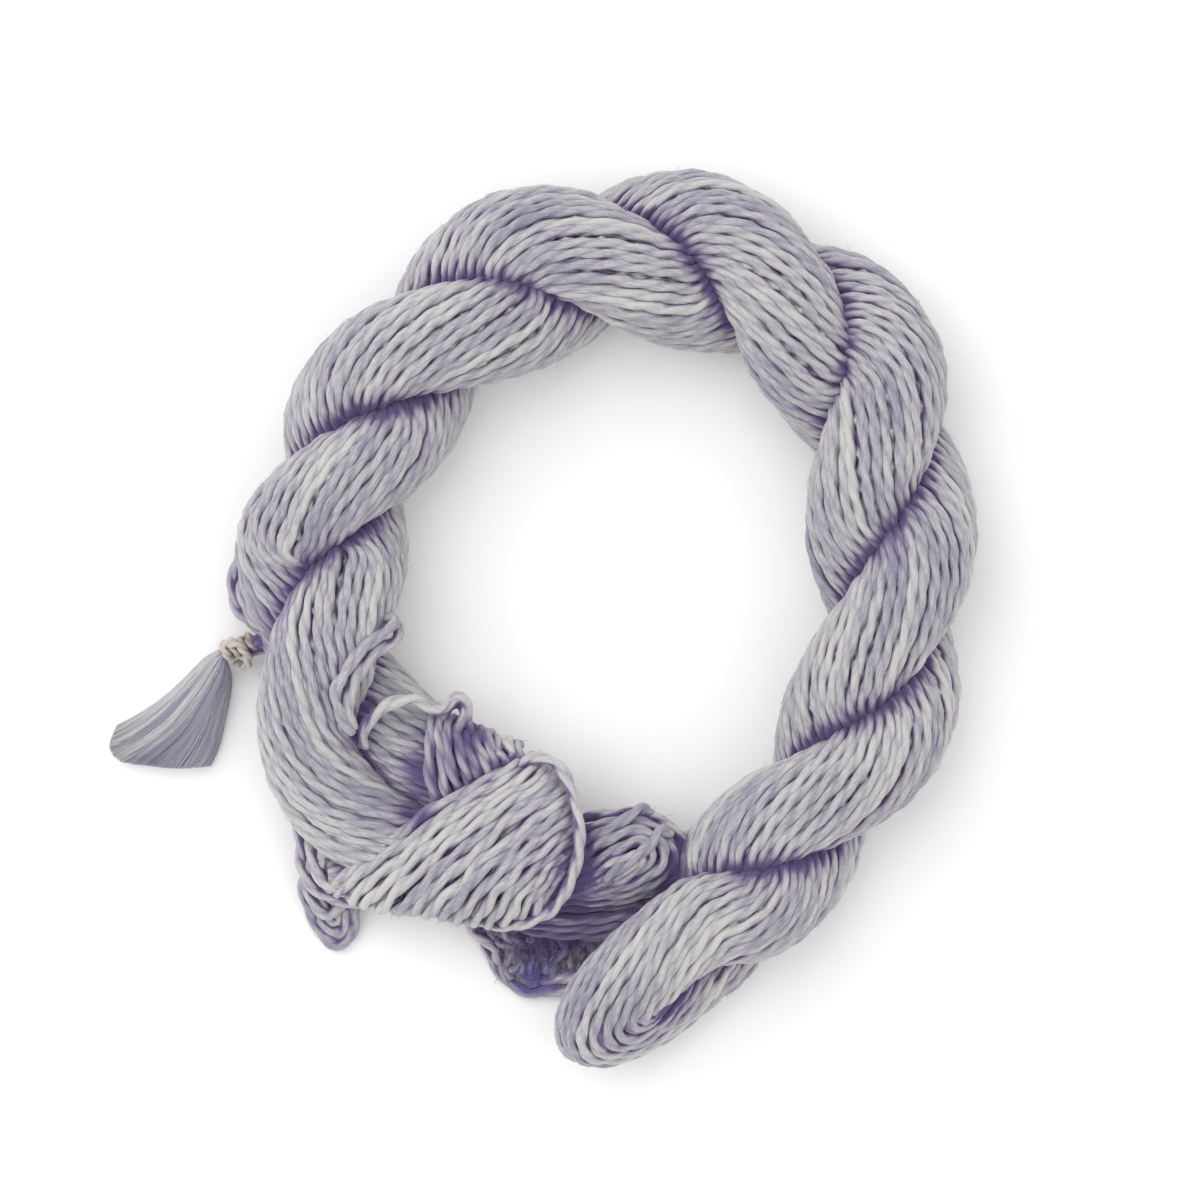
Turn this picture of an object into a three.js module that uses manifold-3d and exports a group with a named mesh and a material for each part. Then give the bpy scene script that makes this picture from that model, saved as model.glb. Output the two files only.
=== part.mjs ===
// A small hank of two-ply wool, folded in two, twisted on itself into a two-strand rope and laid
// down as a closed ring. At the left the two ends are knotted through each other; at the bottom
// the rope ends in a loop. A thread ties a tuft of combed fibre to the left edge of the ring.
// Millimetres, +Z up, +X to the right and +Y away from the loop end; the hank lies on z = 0.
import * as THREE from "three";
import { mergeVertices } from "three/addons/utils/BufferGeometryUtils.js";
import Module from "manifold-3d";

const wasm = await Module();
wasm.setup();

// Driving dimensions
const ROPE_AXIS_HEIGHT = 11.8; // the rope's centre line above the floor; its low turns are pressed flat
const PRESSED_HEIGHT = 0.86; // the rope's height over its width
const TOP_SPREAD = 0.1; // how much wider a strand lies where it crosses over the other
const STRAND_SIDES = 18;
const STRAND_STEP = 4.6; // length of one facet along a strand
const TIGHTEST_FOLD = 0.85; // how near a strand's inner side comes to the centre of its bend
const YARN_RADIUS = 1.1; // a single loose turn of the yarn
const YARN_SIDES = 6;
const YARN_STEP = 2.6;
const NOSE = 0.5; // how far the point of a tube's closed end reaches
const TIE_THREAD = 0.85; // radius of the undyed thread
const TIE_BORE = 1.75; // radius at which it is wound round the tuft's neck
const LOCK_GAP = 0.28; // between neighbouring locks at their ends
const SMALLEST_EDGE = 0.02;

// The rope's centre line where its two strands lie side by side, counter-clockwise from the loop
// end; each row is half a turn of the rope on from the row before.
// x, y, distance of a strand's centre from the rope's, strand radius
const ROPE = [
  [18.9, -58.3, 5.3, 6.8],
  [37.4, -42.3, 6.1, 7.6],
  [55.6, -15.6, 6.5, 8.0],
  [59.3, 16.0, 6.3, 8.2],
  [51.5, 45.1, 6.5, 8.8],
  [25.3, 61.0, 7.1, 8.2],
  [-5.4, 57.0, 6.7, 8.6],
  [-28.6, 35.2, 6.8, 7.6],
  [-37.6, 10.0, 6.9, 7.8],
  [-37.6, -17.7, 6.5, 8.2],
];

// The parts of the strand outside the rope.
// x, y, z, half width, half height
const END_LOOP_TO_RING = [
  [25.7, -41.3, 9.4, 1.0, 0.9],
  [24.3, -41.1, 9.4, 4.1, 3.4],
  [20.6, -41.0, 9.4, 6.5, 4.8],
  [14.5, -41.1, 9.1, 7.8, 5.4],
  [6.6, -42.0, 8.4, 7.0, 5.8],
  [-3.9, -42.3, 7.7, 7.8, 6.1],
  [-15.8, -41.3, 7.7, 8.2, 6.3],
  [-26.9, -37.2, 8.7, 8.2, 6.5],
  [-36.2, -29.9, 10.1, 8.3, 6.5],
  [-40.3, -18.9, 12.5, 8.3, 6.8],
  [-37.2, -5.3, 15.5, 9.2, 6.8],
];
const INTO_LOOP_END = [
  [21.6, -54.8, 17.2, 7.6, 6.4],
  [15.6, -59.2, 16.2, 8.2, 6.4],
  [11.8, -63.2, 13.8, 8.6, 6.8],
];
const OUT_OF_LOOP_END = [
  [12.4, -67.0, 8.8, 7.0, 6.6],
  [16.8, -66.6, 7.2, 7.4, 6.5],
  [21.0, -63.4, 6.3, 7.4, 6.4],
  [25.6, -59.0, 6.2, 7.5, 6.4],
  [30.9, -54.0, 6.4, 7.5, 6.5],
];
// The round end of the loop, where the strand turns down and back: centre, then half sizes.
const LOOP_END = [11.0, -66.6, 11.9];
const LOOP_END_SIZE = [9.6, 9.6, 9.7];
const RING_TO_KNOT = [
  [-38.2, -6.1, 6.0, 8.2, 6.5],
  [-30.8, -12.8, 7.0, 8.3, 6.8],
  [-23.0, -20.9, 8.0, 8.2, 6.5],
  [-13.8, -26.7, 9.7, 7.8, 6.1],
  [-5.3, -31.8, 12.5, 7.8, 5.4],
  [0.9, -36.9, 14.8, 6.8, 4.4],
];
// The turns fanned out over the knot, from their fold at the right to where they tuck under.
const FAN = [
  [6.3, -35.5, 13.5, 1.4, 1.0],
  [4.9, -35.7, 14.2, 6.8, 3.4],
  [2.0, -36.0, 14.8, 10.9, 4.6],
  [-2.2, -36.9, 15.5, 13.4, 5.3],
  [-9.0, -38.6, 15.9, 12.2, 5.4],
  [-15.3, -39.8, 15.5, 10.7, 5.3],
  [-20.9, -41.0, 14.5, 8.2, 4.9],
  [-26.9, -42.8, 12.8, 5.4, 4.2],
  [-32.3, -44.5, 10.4, 3.6, 3.4],
  [-37.1, -45.9, 8.4, 2.4, 2.7],
  [-38.6, -46.4, 7.7, 0.9, 0.9],
];
// Their way back beneath the knot to the loop end.
const UNDER_KNOT = [
  [-38.2, -43.4, 6.7, 0.9, 0.9],
  [-36.9, -44.0, 6.3, 3.4, 3.4],
  [-32.5, -43.8, 5.7, 3.8, 4.4],
  [-24.3, -44.2, 5.0, 4.2, 4.8],
  [-15.5, -45.8, 4.6, 4.6, 4.8],
  [-6.0, -47.6, 4.6, 5.4, 4.8],
  [2.9, -49.0, 4.6, 6.0, 4.8],
  [11.4, -49.4, 4.6, 5.6, 4.4],
  [18.9, -49.0, 4.6, 4.4, 3.7],
  [20.9, -49.0, 4.6, 1.0, 0.9],
];

// Single turns that have come loose from the knot: x, y, z along each.
const LOOSE_TURNS = [
  // over the fold of the fan
  [
    [-3.2, -26.0, 16.2],
    [-0.9, -24.0, 18.2],
    [2.9, -26.5, 19.9],
    [6.0, -35.9, 20.6],
    [4.9, -44.4, 19.3],
    [0.3, -49.8, 15.9],
    [-6.5, -52.0, 12.1],
    [-12.4, -50.2, 9.4],
  ],
  // two side by side at the inside of the ring
  [
    [-27.7, -0.2, 17.6],
    [-25.2, -0.5, 19.3],
    [-31.1, -7.8, 21.6],
    [-33.7, -13.8, 21.0],
    [-32.8, -18.9, 18.2],
  ],
  [
    [-25.2, -2.2, 16.2],
    [-25.7, -4.4, 18.2],
    [-28.7, -6.1, 20.3],
    [-30.8, -12.1, 20.3],
    [-32.5, -17.5, 18.2],
  ],
  // along the inner edge of the knot
  [
    [-30.8, -21.4, 14.8],
    [-30.9, -18.5, 16.9],
    [-28.6, -15.1, 18.2],
    [-24.7, -13.6, 18.2],
    [-20.6, -13.4, 17.6],
    [-17.5, -14.8, 16.2],
    [-14.8, -12.8, 16.2],
    [-13.1, -15.0, 15.9],
    [-14.6, -20.4, 13.0],
    [-15.8, -22.8, 11.0],
  ],
  [
    [-20.8, -16.8, 10.5],
    [-20.0, -19.6, 14.2],
    [-19.7, -22.8, 15.6],
    [-19.6, -25.8, 16.2],
    [-18.7, -29.1, 15.9],
    [-16.5, -31.1, 14.8],
  ],
  // the two that droop onto the floor below the knot
  [
    [-38.6, -42.3, 7.0],
    [-41.0, -45.1, 5.4],
    [-40.1, -49.8, 2.4],
    [-37.9, -54.2, 1.0],
    [-35.4, -55.9, 1.0],
    [-33.3, -54.6, 1.2],
    [-32.5, -51.9, 1.9],
    [-32.1, -47.5, 4.3],
  ],
  [
    [-11.1, -49.3, 6.0],
    [-10.6, -53.2, 2.9],
    [-9.2, -57.6, 1.2],
    [-7.0, -61.3, 1.0],
    [-3.2, -63.9, 1.0],
    [0.9, -63.8, 1.2],
    [4.2, -63.4, 3.2],
    [8.0, -63.4, 7.0],
  ],
  [
    [-7.4, -49.8, 6.0],
    [-7.6, -53.4, 2.8],
    [-6.4, -57.6, 1.1],
    [-3.4, -61.0, 1.0],
    [1.4, -61.8, 1.4],
    [5.2, -61.2, 4.4],
    [8.6, -61.0, 8.0],
  ],
  // at the outer edge of the ring, above the tie
  [
    [-47.8, 12.0, 9.4],
    [-52.2, 7.0, 8.7],
    [-52.7, 3.7, 7.7],
    [-51.3, 1.4, 7.6],
    [-46.8, -0.2, 8.4],
  ],
];

// The tie, from the skein's edge to the tuft: x, y, z where each wrap is centred.
const TIE_TAIL = [
  [-48.8, -4.1, 6.0, 0.7, 1.0],
  [-50.4, -4.6, 5.6, 1.2, 1.6],
];
const TIE_WRAPS = [
  [-50.2, -4.6, 5.6],
  [-51.5, -5.0, 5.2],
  [-52.8, -5.4, 4.9],
  [-54.1, -5.8, 4.5],
];
const WRAP_TILTS = [0.25, -0.2, 0.3, -0.15];

// The tuft: the left and the right edge of the fan it spreads into, and the line of its cut ends.
// x, y, z, half width, half height
const TUFT_HEAD = [
  [-51.2, -4.95, 5.25, 0.45, 0.45],
  [-54.9, -6.05, 4.35, 0.45, 0.45],
  [-56.4, -7.5, 3.8, 1.4, 1.1],
  [-57.6, -9.4, 3.2, 1.9, 1.2],
  [-58.4, -11.0, 2.6, 1.2, 0.8],
];
const TUFT_LEFT_EDGE = [
  [-55.6, -5.9],
  [-60.9, -9.9],
  [-65.8, -14.3],
  [-73.4, -18.4],
];
const TUFT_RIGHT_EDGE = [
  [-54.4, -7.6],
  [-53.9, -12.9],
  [-54.6, -19.7],
  [-57.3, -25.2],
];
const TUFT_ENDS = [
  [-73.4, -18.4],
  [-74.0, -21.5],
  [-72.2, -24.0],
  [-67.8, -24.9],
  [-62.5, -25.5],
  [-57.3, -25.3],
];
const TUFT_END_LENGTH = 21; // along the line of its cut ends
const LOCK_LAYERS = [
  { locks: 13, floor: 0, height: 1.3, length: 1 },
  { locks: 11, floor: 1.6, height: 1.2, length: 0.96 },
];

const mix = (a, b, t) => a.map((value, i) => value + (b[i] - value) * t);
const point = ([x, y, z = 0]) => new THREE.Vector3(x, y, z);

// Catmull-Rom: the row of a table at a whole or fractional row number.
function along(rows, at) {
  const i = Math.min(Math.max(Math.floor(at), 0), rows.length - 2);
  const t = at - i;
  const [p1, p2] = [rows[i], rows[i + 1]];
  const p0 = rows[i - 1] ?? mix(p1, p2, -1);
  const p3 = rows[i + 2] ?? mix(p2, p1, -1);
  return p1.map((_, k) => {
    const slope = p2[k] - p0[k];
    const bend = 2 * p0[k] - 5 * p1[k] + 4 * p2[k] - p3[k];
    const twist = 3 * p1[k] - p0[k] - 3 * p2[k] + p3[k];
    return p1[k] + 0.5 * t * (slope + t * (bend + t * twist));
  });
}

// One of the rope's two strands: a helix about the rope's centre line, half a turn a row.
function ropeStrand(strand, from, to) {
  const rows = [];
  const quarters = Math.abs(to - from) * 4;
  for (let n = 0; n <= quarters; n++) {
    const row = from + ((to - from) * n) / quarters;
    const [x, y, offset, radius] = along(ROPE, row);
    const [x0, y0] = along(ROPE, row - 0.001);
    const [x1, y1] = along(ROPE, row + 0.001);
    const forward = new THREE.Vector2(x1 - x0, y1 - y0).normalize();
    const phase = Math.PI * (row + strand);
    const aside = offset * Math.cos(phase);
    const high = Math.abs(Math.sin(phase));
    rows.push([
      x - forward.y * aside,
      y + forward.x * aside,
      ROPE_AXIS_HEIGHT + PRESSED_HEIGHT * offset * Math.sin(phase),
      radius * (1 + TOP_SPREAD * high),
      radius * PRESSED_HEIGHT * (1 + TOP_SPREAD * (1 - high)),
    ]);
  }
  return rows;
}

// Samples along a route, each with its direction; rows without a width get the yarn's radius.
function samples(rows, perRow = 24) {
  const dense = [];
  for (let n = 0; n <= (rows.length - 1) * perRow; n++)
    dense.push(along(rows, n / perRow));
  const near = (n) => point(dense[Math.min(Math.max(n, 0), dense.length - 1)]);
  const reach = Math.round(perRow / 2);
  return dense.map((row, n) => {
    const before = near(n - reach);
    const after = near(n + reach);
    const bend = before.clone().add(after).addScaledVector(near(n), -2);
    return {
      centre: near(n),
      forward: near(n + 1).sub(near(n - 1)).normalize(),
      bend: bend.multiplyScalar(4 / before.distanceToSquared(after)),
      wide: row[3] ?? YARN_RADIUS,
      tall: row[4] ?? YARN_RADIUS,
    };
  });
}

// Samples spaced evenly along a route, its first and last among them.
function evenly(route, step) {
  const reach = [0];
  for (let n = 1; n < route.length; n++)
    reach.push(reach[n - 1] + route[n].centre.distanceTo(route[n - 1].centre));
  const count = Math.max(2, Math.round(reach.at(-1) / step));
  const chosen = [];
  for (let k = 0; k <= count; k++) {
    const n = reach.findIndex((d) => d >= (reach.at(-1) * k) / count - 1e-9);
    chosen.push(route[n]);
  }
  return chosen;
}

// A closed tube of elliptical section, its width level with the floor and its ends pointed.
function tube(stations, sides, nose = NOSE) {
  const xyz = [];
  const faces = [];
  for (const { centre, forward, bend, wide, tall } of stations) {
    const left = new THREE.Vector3(-forward.y, forward.x, 0).normalize();
    const up = forward.clone().cross(left);
    for (let s = 0; s < sides; s++) {
      const angle = (2 * Math.PI * (s + 0.5)) / sides;
      const rim = left.clone().multiplyScalar(wide * Math.cos(angle));
      rim.addScaledVector(up, tall * Math.sin(angle));
      const excess = Math.max(0, rim.dot(bend) - TIGHTEST_FOLD);
      rim.addScaledVector(bend, -excess / Math.max(bend.lengthSq(), 1e-9));
      xyz.push(...rim.add(centre));
    }
  }
  const last = (stations.length - 1) * sides;
  const tail = stations.length * sides;
  const first = stations[0];
  const end = stations.at(-1);
  xyz.push(...first.centre.clone().addScaledVector(first.forward, -nose));
  xyz.push(...end.centre.clone().addScaledVector(end.forward, nose));
  for (let s = 0; s < sides; s++) {
    const next = (s + 1) % sides;
    for (let ring = 0; ring < last; ring += sides) {
      faces.push(ring + s, ring + next, ring + sides + s);
      faces.push(ring + next, ring + sides + next, ring + sides + s);
    }
    faces.push(tail, next, s);
    faces.push(tail + 1, last + s, last + next);
  }
  return solid(xyz, faces);
}

function solid(xyz, faces) {
  return new wasm.Manifold(
    new wasm.Mesh({
      numProp: 3,
      vertProperties: new Float32Array(xyz),
      triVerts: new Uint32Array(faces),
    }),
  );
}

// Joined solids with nothing hollow inside, cut level with the floor.
function fused(solids) {
  const joined = wasm.Manifold.union(solids).trimByPlane([0, 0, 1], 0);
  const bodies = joined.simplify(SMALLEST_EDGE).decompose();
  return wasm.Manifold.union(bodies.filter((body) => body.volume() > 0));
}

function skein() {
  const halves = [
    [...END_LOOP_TO_RING, ...ropeStrand(0, 8.25, 0.5), ...INTO_LOOP_END],
    [...OUT_OF_LOOP_END, ...ropeStrand(1, 0.75, 8), ...RING_TO_KNOT],
  ];
  const end = new THREE.SphereGeometry(1, 20, 12);
  end.scale(...LOOP_END_SIZE).translate(...LOOP_END);
  const solids = [closed(end)];
  for (const rows of halves)
    solids.push(tube(evenly(samples(rows), STRAND_STEP), STRAND_SIDES));
  for (const rowsOf of [FAN, UNDER_KNOT])
    solids.push(tube(evenly(samples(rowsOf), STRAND_STEP * 0.8), STRAND_SIDES, 0.3));
  for (const rowsOf of LOOSE_TURNS)
    solids.push(tube(evenly(samples(rowsOf), YARN_STEP), YARN_SIDES, 0.5));
  return fused(solids);
}

// The thread: closed wraps side by side round the tuft's neck, and its pair of ends at the skein.
function tie() {
  const start = point(TIE_WRAPS[0]);
  const axis = point(TIE_WRAPS.at(-1)).sub(start).normalize();
  const across = new THREE.Vector3(-axis.y, axis.x, 0).normalize();
  const wraps = TIE_WRAPS.map((centre, n) => {
    const ring = new THREE.TorusGeometry(TIE_BORE, TIE_THREAD, 7, 16);
    const facing = new THREE.Quaternion().setFromUnitVectors(
      new THREE.Vector3(0, 0, 1),
      axis.clone().applyAxisAngle(across, WRAP_TILTS[n]),
    );
    ring.applyQuaternion(facing);
    ring.translate(...centre);
    return closed(ring);
  });
  return fused([...wraps, tube(samples(TIE_TAIL, 2), 8, 0.3)]);
}

function closed(geometry) {
  geometry.deleteAttribute("normal");
  geometry.deleteAttribute("uv");
  const merged = mergeVertices(geometry);
  return solid(merged.attributes.position.array, merged.index.array);
}

// The tuft: its head, from inside the thread, and flat locks that spread from it over the floor.
function tuft() {
  const solids = [tube(evenly(samples(TUFT_HEAD), 1.2), 10, 0.3)];
  for (const { locks, floor, height, length } of LOCK_LAYERS)
    for (let n = 0; n < locks; n++) {
      const side = (n + 0.5) / locks;
      const rows = [];
      for (let k = 1; k <= 9; k++) {
        const t = (k / 9) * length;
        const inner = along(TUFT_LEFT_EDGE, 3 * t);
        const outer = along(TUFT_RIGHT_EDGE, 3 * t);
        const end = along(TUFT_ENDS, side * (TUFT_ENDS.length - 1));
        const [x, y] = mix(mix(inner, outer, side), end, t ** 3);
        const spread = Math.hypot(outer[0] - inner[0], outer[1] - inner[1]);
        const room = mix([spread], [TUFT_END_LENGTH], t ** 3)[0] / locks;
        const wide = Math.max(room - LOCK_GAP, 0.5);
        const drop = THREE.MathUtils.smoothstep(t, 0, 0.5);
        const low = floor + height / 2;
        const z = TUFT_HEAD[2][2] * (1 - drop) + low * drop;
        rows.push([x, y, z, wide * Math.SQRT1_2, height * Math.SQRT1_2]);
      }
      solids.push(tube(evenly(samples(rows), 2.8), 4, 0.05));
    }
  return fused(solids);
}

function mesh(name, body, color) {
  const { vertProperties, triVerts } = body.getMesh();
  const geometry = new THREE.BufferGeometry();
  geometry.setAttribute("position", new THREE.BufferAttribute(vertProperties, 3));
  geometry.setIndex(new THREE.BufferAttribute(triVerts, 1));
  const material = new THREE.MeshStandardMaterial({ color, roughness: 0.95, metalness: 0 });
  const made = new THREE.Mesh(geometry, material);
  made.name = name;
  return made;
}

const group = new THREE.Group();
group.add(mesh("skein", skein(), 0xb3aebf));
group.add(mesh("tie", tie(), 0xded6c4));
group.add(mesh("tassel", tuft(), 0xaaa5bb));
const middle = new THREE.Box3().setFromObject(group).getCenter(new THREE.Vector3());
group.position.set(-middle.x, -middle.y, 0);
export default group;
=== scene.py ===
"""A small hank of pale lavender two-ply wool, twisted into a rope and laid as a knotted ring.

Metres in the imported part's frame; the tables are in millimetres, as they are in the part.
"""

import bpy
import numpy as np
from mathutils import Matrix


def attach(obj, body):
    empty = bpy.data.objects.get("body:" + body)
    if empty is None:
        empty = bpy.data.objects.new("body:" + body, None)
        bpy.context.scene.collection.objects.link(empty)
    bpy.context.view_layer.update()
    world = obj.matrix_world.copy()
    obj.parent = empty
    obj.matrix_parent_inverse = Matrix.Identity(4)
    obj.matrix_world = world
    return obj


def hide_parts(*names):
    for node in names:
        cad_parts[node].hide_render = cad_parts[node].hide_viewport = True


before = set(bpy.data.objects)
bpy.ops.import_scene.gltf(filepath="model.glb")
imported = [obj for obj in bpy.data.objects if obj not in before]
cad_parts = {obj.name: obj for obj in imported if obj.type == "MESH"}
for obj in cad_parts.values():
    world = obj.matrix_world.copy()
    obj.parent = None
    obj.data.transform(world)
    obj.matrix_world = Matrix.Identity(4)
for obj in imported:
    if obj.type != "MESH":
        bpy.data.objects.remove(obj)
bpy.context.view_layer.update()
tau = 2 * np.pi
chance = np.random.default_rng(11)

# Camera and floor. The photograph looks straight down on the ring; its frame is 204 mm wide at the
# height of the rope. The floor is a plain pale sheet, the light a large soft window at the left.
camera = bpy.data.objects.new("camera", bpy.data.cameras.new("camera"))
camera.location = (0.0100, 0.0032, 1.200)
camera.data.lens = 36 * 1.188 / 0.204
camera.data.clip_start = 0.01
bpy.context.collection.objects.link(camera)
bpy.context.scene.camera = camera
bpy.context.scene.view_settings.view_transform = "Standard"

bpy.ops.mesh.primitive_plane_add(size=6, location=(0, 0, -0.0002))
floor = bpy.context.object
floor.name = "floor"
paper = bpy.data.materials.new("paper")
paper.use_nodes = True
paper.node_tree.nodes["Principled BSDF"].inputs["Base Color"].default_value = (0.93, 0.93, 0.93, 1)
paper.node_tree.nodes["Principled BSDF"].inputs["Roughness"].default_value = 0.9
floor.data.materials.append(paper)


def soft_light(name, place, size, watts):
    """A square area light at place, turned to face the middle of the ring."""
    lamp = bpy.data.lights.new(name, "AREA")
    lamp.size = size
    lamp.energy = watts
    holder = bpy.data.objects.new(name, lamp)
    holder.location = place
    aim = -np.array(place)
    holder.rotation_euler = (
        np.arctan2(np.hypot(aim[0], aim[1]), -aim[2]),
        0,
        np.arctan2(-aim[0], aim[1]),
    )
    bpy.context.collection.objects.link(holder)


soft_light("window", (-0.60, 0.45, 1.00), 1.5, 10)
soft_light("opposite_wall", (0.8, -0.4, 0.9), 1.2, 2)
world = bpy.data.worlds.new("room")
world.use_nodes = True
world.node_tree.nodes["Background"].inputs["Color"].default_value = (1.0, 0.985, 0.97, 1)
world.node_tree.nodes["Background"].inputs["Strength"].default_value = 0.90
bpy.context.scene.world = world


# Materials. The wool is softly spun and unevenly dyed: pale grey where the dye is thin, lavender
# elsewhere. Down between the turns it is painted purple as shade, where light has passed from fibre to
# fibre.
class Wire:
    """A shader value: Python arithmetic on it adds Math nodes, so a formula reads as one."""

    def __init__(self, socket):
        self.socket = socket

    def node(self, kind, inputs, output=0, **settings):
        made = self.socket.node.id_data.nodes.new(kind)
        for key, value in settings.items():
            setattr(made, key, value)
        for key, value in inputs.items():
            if isinstance(value, Wire):
                made.id_data.links.new(made.inputs[key], value.socket)
            else:
                made.inputs[key].default_value = value
        return Wire(made.outputs[output])

    def math(self, operation, *others):
        values = dict(enumerate([self, *others]))
        return self.node("ShaderNodeMath", values, operation=operation)

    def __add__(self, other):
        return self.math("ADD", other)

    def __mul__(self, other):
        return self.math("MULTIPLY", other)

    def __sub__(self, other):
        return self.math("SUBTRACT", other)

    def __rsub__(self, other):
        return (self * -1.0) + other

    __radd__ = __add__
    __rmul__ = __mul__

    def between(self, low, high):
        """0 below low and 1 above high, with an eased step between them."""
        inputs = {"Value": self, "From Min": low, "From Max": high}
        return self.node("ShaderNodeMapRange", inputs, interpolation_type="SMOOTHERSTEP")

    def towards(self, colour, other):
        """colour where this is 0 and other where it is 1."""
        inputs = {0: self, 6: colour, 7: other}
        return self.node("ShaderNodeMix", inputs, output=2, data_type="RGBA")

    def vector(self, y, z):
        return self.node("ShaderNodeCombineXYZ", {0: self, 1: y, 2: z})

    def noise(self, scale, detail=2.0):
        inputs = {"Vector": self, "Scale": scale, "Detail": detail}
        return self.node("ShaderNodeTexNoise", inputs)

    def bump(self, strength, distance):
        inputs = {"Height": self, "Strength": strength, "Distance": distance}
        return self.node("ShaderNodeBump", inputs)


def srgb(red, green, blue):
    """A screen colour of 0 to 255 as linear red, green, blue and an alpha of 1."""
    c = np.array([red, green, blue]) / 255
    return (*np.where(c > 0.04045, ((c + 0.055) / 1.055) ** 2.4, c / 12.92), 1.0)


def wool(name, pale, dyed, deep, girth, pitch, sheen):
    """Wool in a piece's own UV map, x along the yarn in cm and y once round it with the twist, so
    that its plies are at 0 and 1/2 and the grooves between them at 1/4 and 3/4."""
    material = bpy.data.materials.new(name)
    material.use_nodes = True
    nodes = material.node_tree.nodes
    skin = nodes["Principled BSDF"]
    read = nodes.new("ShaderNodeSeparateXYZ")
    place = nodes.new("ShaderNodeTexCoord")
    material.node_tree.links.new(read.inputs[0], place.outputs["UV"])
    along, around = Wire(read.outputs[0]), Wire(read.outputs[1])
    where = Wire(place.outputs["Object"])
    painted_shade_and_dye = along.node("ShaderNodeAttribute", {}, output=2, attribute_name="painted_shade_and_dye")
    tone = along.node("ShaderNodeAttribute", {}, output=2, attribute_name="tone")
    violet = along.node("ShaderNodeAttribute", {}, output=2, attribute_name="violet")
    # painted shade: the crests of the plies are painted paler and the grooves between them more
    # lavender and deeper
    groove = (1.0 - (around * tau).math("COSINE").math("ABSOLUTE")).math("POWER", 1.5)
    angle = (around - along * (10 / pitch)) * tau
    fibres = (angle.math("COSINE") * girth).vector(angle.math("SINE") * girth, along * 1.4)
    streak = fibres.noise(1.7, 3.0)
    fine = fibres.noise(4.0, 3.0)
    grain = fibres.noise(12.0, 2.0)
    cloud = where.noise(55.0, 1.0)
    slub = along.vector(tone * 9.0, 0.0).noise(1.1, 1.0)
    dye = tone * 0.22 + (streak - 0.5) * 0.25 + (fine - 0.5) * 1.1 + (cloud - 0.5) * 0.7
    dye = dye + (slub - 0.5) * 0.4 + (grain - 0.5) * 0.7 + groove * 0.22 + 0.38
    body = dye.between(-0.1, 1.1).towards(pale, dyed)
    # painted shade: where the yarn is crowded, in the creases and in the ply grooves the colour is
    # darkened towards deep purple
    depth = painted_shade_and_dye + (streak - 0.5) * 0.2 + groove * 0.1
    colour = depth.between(0.04, 0.9).towards(body, deep)
    colour = (violet + (streak - 0.5) * 0.5).between(0.15, 1.0).towards(colour, srgb(104, 90, 156))
    height = streak * 0.5 + fine * 0.4 + grain * 0.3
    links = material.node_tree.links
    links.new(skin.inputs["Base Color"], colour.socket)
    links.new(skin.inputs["Normal"], height.bump(0.8, 0.0004).socket)
    # painted light: the wool glows faintly in its own colour, which lifts the shade between the turns
    links.new(skin.inputs["Emission Color"], colour.socket)
    skin.inputs["Emission Strength"].default_value = 0.06
    skin.inputs["Roughness"].default_value = 0.85
    skin.inputs["Specular IOR Level"].default_value = 0.25
    skin.inputs["Sheen Weight"].default_value = sheen
    skin.inputs["Sheen Roughness"].default_value = 0.5
    skin.inputs["Subsurface Weight"].default_value = 0.25
    skin.inputs["Subsurface Radius"].default_value = (1.0, 0.85, 1.1)
    skin.inputs["Subsurface Scale"].default_value = 0.001
    return material


# the third colour of each wool is the painted shade colour of crowded places, creases and grooves
lavender_wool = wool(
    "lavender_wool", srgb(192, 191, 189), srgb(131, 127, 148), srgb(92, 76, 122), 1.0, 10.8, 0.3
)
undyed_thread = wool(
    "undyed_thread", srgb(212, 207, 197), srgb(186, 178, 167), srgb(140, 130, 126), 1.0, 4.6, 0.3
)
combed_fibre = wool(
    "combed_fibre", srgb(236, 234, 238), srgb(172, 165, 196), srgb(120, 108, 155), 9.0, 1e6, 0.30
)


# The route of the hank's one long bundle of turns: out of the knot, round the ring as one strand of
# the rope, round the loop end, back as the other strand and into the knot again.
def along_rows(rows, at):
    """Catmull-Rom: every column of a table at whole or fractional row numbers."""
    rows = np.asarray(rows, float)
    padded = np.vstack([2 * rows[0] - rows[1], rows, 2 * rows[-1] - rows[-2]])
    at = np.asarray(at, float)
    i = np.clip(np.floor(at).astype(int), 0, len(rows) - 2)
    t = (at - i)[:, None]
    p0, p1, p2, p3 = (padded[i + k] for k in range(4))
    bend = 2 * p0 - 5 * p1 + 4 * p2 - p3
    twist = 3 * p1 - p0 - 3 * p2 + p3
    return p1 + 0.5 * t * (p2 - p0 + t * (bend + t * twist))


def evenly(rows, step):
    """The table's smooth curve at equal steps of length in its first three columns."""
    dense = along_rows(rows, np.linspace(0, len(rows) - 1, 80 * (len(rows) - 1) + 1))
    gone = np.linalg.norm(np.diff(dense[:, :3], axis=0), axis=1)
    reach = np.concatenate([[0], np.cumsum(gone)])
    marks = np.linspace(0, reach[-1], max(2, int(round(reach[-1] / step))) + 1)
    return np.stack([np.interp(marks, reach, column) for column in dense.T], axis=1), marks


# how high the rope's centre line runs, and how far its turns wind round a strand in each mm
rope_height = 11.8
winding = -0.0654
# x, y, distance of a strand's centre from the rope's, strand radius, every half turn of the rope
rope = np.array([
    (18.9, -58.3, 5.3, 6.8),
    (37.4, -42.3, 6.1, 7.6),
    (55.6, -15.6, 6.5, 8.0),
    (59.3, 16.0, 6.3, 8.2),
    (51.5, 45.1, 6.5, 8.8),
    (25.3, 61.0, 7.1, 8.2),
    (-5.4, 57.0, 6.7, 8.6),
    (-28.6, 35.2, 6.8, 7.6),
    (-37.6, 10.0, 6.9, 7.8),
    (-37.6, -17.7, 6.5, 8.2),
])
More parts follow.
